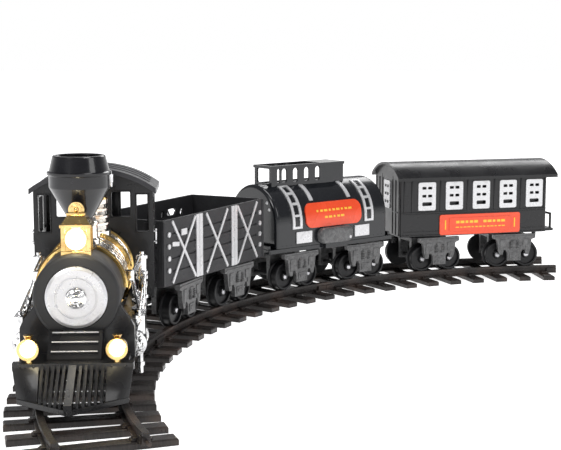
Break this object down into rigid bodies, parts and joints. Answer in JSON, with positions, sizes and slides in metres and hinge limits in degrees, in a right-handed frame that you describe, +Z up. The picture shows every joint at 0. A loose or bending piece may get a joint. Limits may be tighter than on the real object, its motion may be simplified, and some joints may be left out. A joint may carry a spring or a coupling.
{
  "type": "electric train set",
  "caption": "Toy steam locomotive with tender-less cab, open wagon, tank car and passenger coach, coupled on a curve of sectional track.",
  "frame": {"origin": "on the table, under the middle of the whole set's bounding box", "axes": "+Z up, +Y along the set's longest side, towards the coach; the locomotive heads towards -Y"},
  "size_m": [0.429, 0.6214, 0.1496],
  "materials": {
    "track_plastic": "satin moulded plastic, sleepers with a faint grain",
    "loco_black": "satin black moulded plastic",
    "boiler_chrome": "vacuum-plated, embossed with small oblong marks",
    "gold_plate": "polished gold plating",
    "silver_paint": "silver-white satin paint",
    "lamp_metal": "gold-plated lamp cases",
    "lamp_glass": "clear lens, lit warm white",
    "roof_grey": "dark grey satin",
    "gear_chrome": "bright vacuum-plated plastic",
    "motor_steel": "plain steel can and plastic gear case",
    "cell_metal": "plain metal cells",
    "smoke_brass": "dull brass",
    "screw_steel": "zinc plated",
    "switch_black": "matt black",
    "truck_grey": "mid-grey moulded plastic, slightly mottled",
    "wheel_grey": "dark grey wheels on steel axles",
    "driver_metal": "dark grey paint with a bright rim",
    "gondola_black": "matt charcoal black",
    "tank_black": "glossy black",
    "coach_black": "glossy black",
    "plate_red": "glossy red-orange",
    "coupler_black": "matt black"
  },
  "bodies": {
    "track": {"track_section_1": "track_plastic", "track_section_2": "track_plastic", "track_section_3": "track_plastic"},
    "loco": {"loco_frame": "loco_black", "pilot": "loco_black", "boiler_shell": "loco_black", "boiler_jacket": "boiler_chrome", "boiler_bands": "gold_plate", "smokebox_door": "silver_paint", "chimney": "loco_black", "boiler_domes": "boiler_chrome", "lamp_cases": "lamp_metal", "lamp_lenses": "lamp_glass", "cab_body": "loco_black", "cab_roof": "roof_grey", "side_gear": "gear_chrome", "gear_motor": "motor_steel", "battery_cells": "cell_metal", "smoke_unit": "smoke_brass", "cab_screws": "screw_steel"},
    "battery_cover": {"battery_cover": "loco_black"},
    "power_switch": {"power_switch": "switch_black"},
    "lead_truck": {"lead_truck": "truck_grey"},
    "lead_wheelset_1": {"lead_wheelset_1": "wheel_grey"},
    "lead_wheelset_2": {"lead_wheelset_2": "wheel_grey"},
    "driver_front": {"driver_wheelset_front": "driver_metal"},
    "driver_rear": {"driver_wheelset_rear": "driver_metal"},
    "side_rods": {"side_rods": "gear_chrome"},
    "gondola": {"gondola_body": "gondola_black", "gondola_trim": "silver_paint"},
    "tank": {"tank_frame": "tank_black", "tank_shell": "tank_black", "tank_gallery": "tank_black", "tank_straps": "silver_paint", "tank_plates": "plate_red"},
    "coach": {"coach_body": "coach_black", "coach_windows": "silver_paint", "coach_plates": "plate_red", "coach_roof": "coach_black"},
    "gondola_front_truck": {"gondola_front_truck": "truck_grey"},
    "gondola_front_wheelset_1": {"gondola_front_wheelset_1": "wheel_grey"},
    "gondola_front_wheelset_2": {"gondola_front_wheelset_2": "wheel_grey"},
    "gondola_rear_truck": {"gondola_rear_truck": "truck_grey"},
    "gondola_rear_wheelset_1": {"gondola_rear_wheelset_1": "wheel_grey"},
    "gondola_rear_wheelset_2": {"gondola_rear_wheelset_2": "wheel_grey"},
    "tank_front_truck": {"tank_front_truck": "truck_grey"},
    "tank_front_wheelset_1": {"tank_front_wheelset_1": "wheel_grey"},
    "tank_front_wheelset_2": {"tank_front_wheelset_2": "wheel_grey"},
    "tank_rear_truck": {"tank_rear_truck": "truck_grey"},
    "tank_rear_wheelset_1": {"tank_rear_wheelset_1": "wheel_grey"},
    "tank_rear_wheelset_2": {"tank_rear_wheelset_2": "wheel_grey"},
    "coach_front_truck": {"coach_front_truck": "truck_grey"},
    "coach_front_wheelset_1": {"coach_front_wheelset_1": "wheel_grey"},
    "coach_front_wheelset_2": {"coach_front_wheelset_2": "wheel_grey"},
    "coach_rear_truck": {"coach_rear_truck": "truck_grey"},
    "coach_rear_wheelset_1": {"coach_rear_wheelset_1": "wheel_grey"},
    "coach_rear_wheelset_2": {"coach_rear_wheelset_2": "wheel_grey"},
    "gondola_drawbar": {"gondola_drawbar": "coupler_black"},
    "tank_drawbar": {"tank_drawbar": "coupler_black"},
    "coach_drawbar": {"coach_drawbar": "coupler_black"}
  },
  "joints": [
    {"name": "loco_run", "type": "hinge", "parent": "track", "child": "loco", "pos_m": [0.2416, -0.14196, 0.011], "axis": [0, 0, 1], "range_deg": [-4, 10]},
    {"name": "gondola_run", "type": "hinge", "parent": "track", "child": "gondola", "pos_m": [0.2416, -0.14196, 0.011], "axis": [0, 0, 1], "range_deg": [-4, 10]},
    {"name": "tank_run", "type": "hinge", "parent": "track", "child": "tank", "pos_m": [0.2416, -0.14196, 0.011], "axis": [0, 0, 1], "range_deg": [-4, 10]},
    {"name": "coach_run", "type": "hinge", "parent": "track", "child": "coach", "pos_m": [0.2416, -0.14196, 0.011], "axis": [0, 0, 1], "range_deg": [-4, 10]},
    {"name": "gondola_front_swivel", "type": "hinge", "parent": "gondola", "child": "gondola_front_truck", "pos_m": [-0.14213, 0.00243, 0.0383], "axis": [0, 0, 1], "range_deg": [-3, 3]},
    {"name": "gondola_front_axle_1", "type": "hinge", "parent": "gondola_front_truck", "child": "gondola_front_wheelset_1", "pos_m": [-0.14706, -0.01067, 0.0226], "axis": [0.9359, -0.3522, 0], "continuous": true},
    {"name": "gondola_front_axle_2", "type": "hinge", "parent": "gondola_front_truck", "child": "gondola_front_wheelset_2", "pos_m": [-0.1372, 0.01554, 0.0226], "axis": [0.9359, -0.3522, 0], "continuous": true},
    {"name": "gondola_rear_swivel", "type": "hinge", "parent": "gondola", "child": "gondola_rear_truck", "pos_m": [-0.10572, 0.07591, 0.0383], "axis": [0, 0, 1], "range_deg": [-3, 3]},
    {"name": "gondola_rear_axle_1", "type": "hinge", "parent": "gondola_rear_truck", "child": "gondola_rear_wheelset_1", "pos_m": [-0.11317, 0.06405, 0.0226], "axis": [0.8471, -0.5314, 0], "continuous": true},
    {"name": "gondola_rear_axle_2", "type": "hinge", "parent": "gondola_rear_truck", "child": "gondola_rear_wheelset_2", "pos_m": [-0.09829, 0.08777, 0.0226], "axis": [0.8471, -0.5314, 0], "continuous": true},
    {"name": "tank_front_swivel", "type": "hinge", "parent": "tank", "child": "tank_front_truck", "pos_m": [-0.0505, 0.14568, 0.0383], "axis": [0, 0, 1], "range_deg": [-3, 3]},
    {"name": "tank_front_axle_1", "type": "hinge", "parent": "tank_front_truck", "child": "tank_front_wheelset_1", "pos_m": [-0.06032, 0.13571, 0.0226], "axis": [0.7125, -0.7017, 0], "continuous": true},
    {"name": "tank_front_axle_2", "type": "hinge", "parent": "tank_front_truck", "child": "tank_front_wheelset_2", "pos_m": [-0.04067, 0.15566, 0.0226], "axis": [0.7125, -0.7017, 0], "continuous": true},
    {"name": "tank_rear_swivel", "type": "hinge", "parent": "tank", "child": "tank_rear_truck", "pos_m": [0.01176, 0.1975, 0.0383], "axis": [0, 0, 1], "range_deg": [-3, 3]},
    {"name": "tank_rear_axle_1", "type": "hinge", "parent": "tank_rear_truck", "child": "tank_rear_wheelset_1", "pos_m": [0.00017, 0.18965, 0.0226], "axis": [0.5606, -0.8281, 0], "continuous": true},
    {"name": "tank_rear_axle_2", "type": "hinge", "parent": "tank_rear_truck", "child": "tank_rear_wheelset_2", "pos_m": [0.02336, 0.20535, 0.0226], "axis": [0.5606, -0.8281, 0], "continuous": true},
    {"name": "coach_front_swivel", "type": "hinge", "parent": "coach", "child": "coach_front_truck", "pos_m": [0.08782, 0.23811, 0.0383], "axis": [0, 0, 1], "range_deg": [-3, 3]},
    {"name": "coach_front_axle_1", "type": "hinge", "parent": "coach_front_truck", "child": "coach_front_wheelset_1", "pos_m": [0.07484, 0.23285, 0.0226], "axis": [0.3751, -0.927, 0], "continuous": true},
    {"name": "coach_front_axle_2", "type": "hinge", "parent": "coach_front_truck", "child": "coach_front_wheelset_2", "pos_m": [0.10079, 0.24336, 0.0226], "axis": [0.3751, -0.927, 0], "continuous": true},
    {"name": "coach_rear_swivel", "type": "hinge", "parent": "coach", "child": "coach_rear_truck", "pos_m": [0.16652, 0.26111, 0.0383], "axis": [0, 0, 1], "range_deg": [-3, 3]},
    {"name": "coach_rear_axle_1", "type": "hinge", "parent": "coach_rear_truck", "child": "coach_rear_wheelset_1", "pos_m": [0.15276, 0.25854, 0.0226], "axis": [0.1831, -0.9831, 0], "continuous": true},
    {"name": "coach_rear_axle_2", "type": "hinge", "parent": "coach_rear_truck", "child": "coach_rear_wheelset_2", "pos_m": [0.18029, 0.26367, 0.0226], "axis": [0.1831, -0.9831, 0], "continuous": true},
    {"name": "lead_swivel", "type": "hinge", "parent": "loco", "child": "lead_truck", "pos_m": [-0.16405, -0.20498, 0.0245], "axis": [0, 0, 1], "range_deg": [-3, 3]},
    {"name": "lead_axle_1", "type": "hinge", "parent": "lead_truck", "child": "lead_wheelset_1", "pos_m": [-0.16206, -0.21782, 0.0201], "axis": [0.9881, 0.1535, 0], "continuous": true},
    {"name": "lead_axle_2", "type": "hinge", "parent": "lead_truck", "child": "lead_wheelset_2", "pos_m": [-0.16605, -0.19213, 0.0201], "axis": [0.9881, 0.1535, 0], "continuous": true},
    {"name": "driver_front_axle", "type": "hinge", "parent": "loco", "child": "driver_front", "pos_m": [-0.1672, -0.14506, 0.0291], "axis": [0.9986, 0.0523, 0], "continuous": true},
    {"name": "driver_rear_axle", "type": "hinge", "parent": "loco", "child": "driver_rear", "pos_m": [-0.16929, -0.10511, 0.0291], "axis": [0.9986, 0.0523, 0], "continuous": true},
    {"name": "side_rod_pin", "type": "hinge", "parent": "driver_front", "child": "side_rods", "pos_m": [-0.1672, -0.14506, 0.0211], "axis": [0.9986, 0.0523, 0], "continuous": true},
    {"name": "gondola_drawbar_pin", "type": "hinge", "parent": "gondola", "child": "gondola_drawbar", "pos_m": [-0.15656, -0.02669, 0.038], "axis": [0, 0, 1], "range_deg": [-1.5, 1.5]},
    {"name": "tank_drawbar_pin", "type": "hinge", "parent": "tank", "child": "tank_drawbar", "pos_m": [-0.07086, 0.12873, 0.038], "axis": [0, 0, 1], "range_deg": [-1.5, 1.5]},
    {"name": "coach_drawbar_pin", "type": "hinge", "parent": "coach", "child": "coach_drawbar", "pos_m": [0.05854, 0.22955, 0.038], "axis": [0, 0, 1], "range_deg": [-1.5, 1.5]},
    {"name": "battery_cover_slide", "type": "slide", "parent": "loco", "child": "battery_cover", "axis": [0, 0, 1], "range_m": [0, 0.03]},
    {"name": "power_switch_slide", "type": "slide", "parent": "loco", "child": "power_switch", "axis": [0.9986, 0.0523, 0], "range_m": [0, 0.005]}
  ],
  "couplings": [
    {"joint": "gondola_run", "follows": "loco_run", "ratio": 1},
    {"joint": "tank_run", "follows": "loco_run", "ratio": 1},
    {"joint": "coach_run", "follows": "loco_run", "ratio": 1},
    {"joint": "gondola_front_axle_1", "follows": "loco_run", "ratio": 35.652},
    {"joint": "gondola_front_axle_2", "follows": "loco_run", "ratio": 35.652},
    {"joint": "gondola_rear_axle_1", "follows": "loco_run", "ratio": 35.652},
    {"joint": "gondola_rear_axle_2", "follows": "loco_run", "ratio": 35.652},
    {"joint": "tank_front_axle_1", "follows": "loco_run", "ratio": 35.652},
    {"joint": "tank_front_axle_2", "follows": "loco_run", "ratio": 35.652},
    {"joint": "tank_rear_axle_1", "follows": "loco_run", "ratio": 35.652},
    {"joint": "tank_rear_axle_2", "follows": "loco_run", "ratio": 35.652},
    {"joint": "coach_front_axle_1", "follows": "loco_run", "ratio": 35.652},
    {"joint": "coach_front_axle_2", "follows": "loco_run", "ratio": 35.652},
    {"joint": "coach_rear_axle_1", "follows": "loco_run", "ratio": 35.652},
    {"joint": "coach_rear_axle_2", "follows": "loco_run", "ratio": 35.652},
    {"joint": "lead_axle_1", "follows": "loco_run", "ratio": 45.556},
    {"joint": "lead_axle_2", "follows": "loco_run", "ratio": 45.556},
    {"joint": "driver_front_axle", "follows": "loco_run", "ratio": 22.778},
    {"joint": "driver_rear_axle", "follows": "loco_run", "ratio": 22.778},
    {"joint": "side_rod_pin", "follows": "loco_run", "ratio": -22.778}
  ]
}
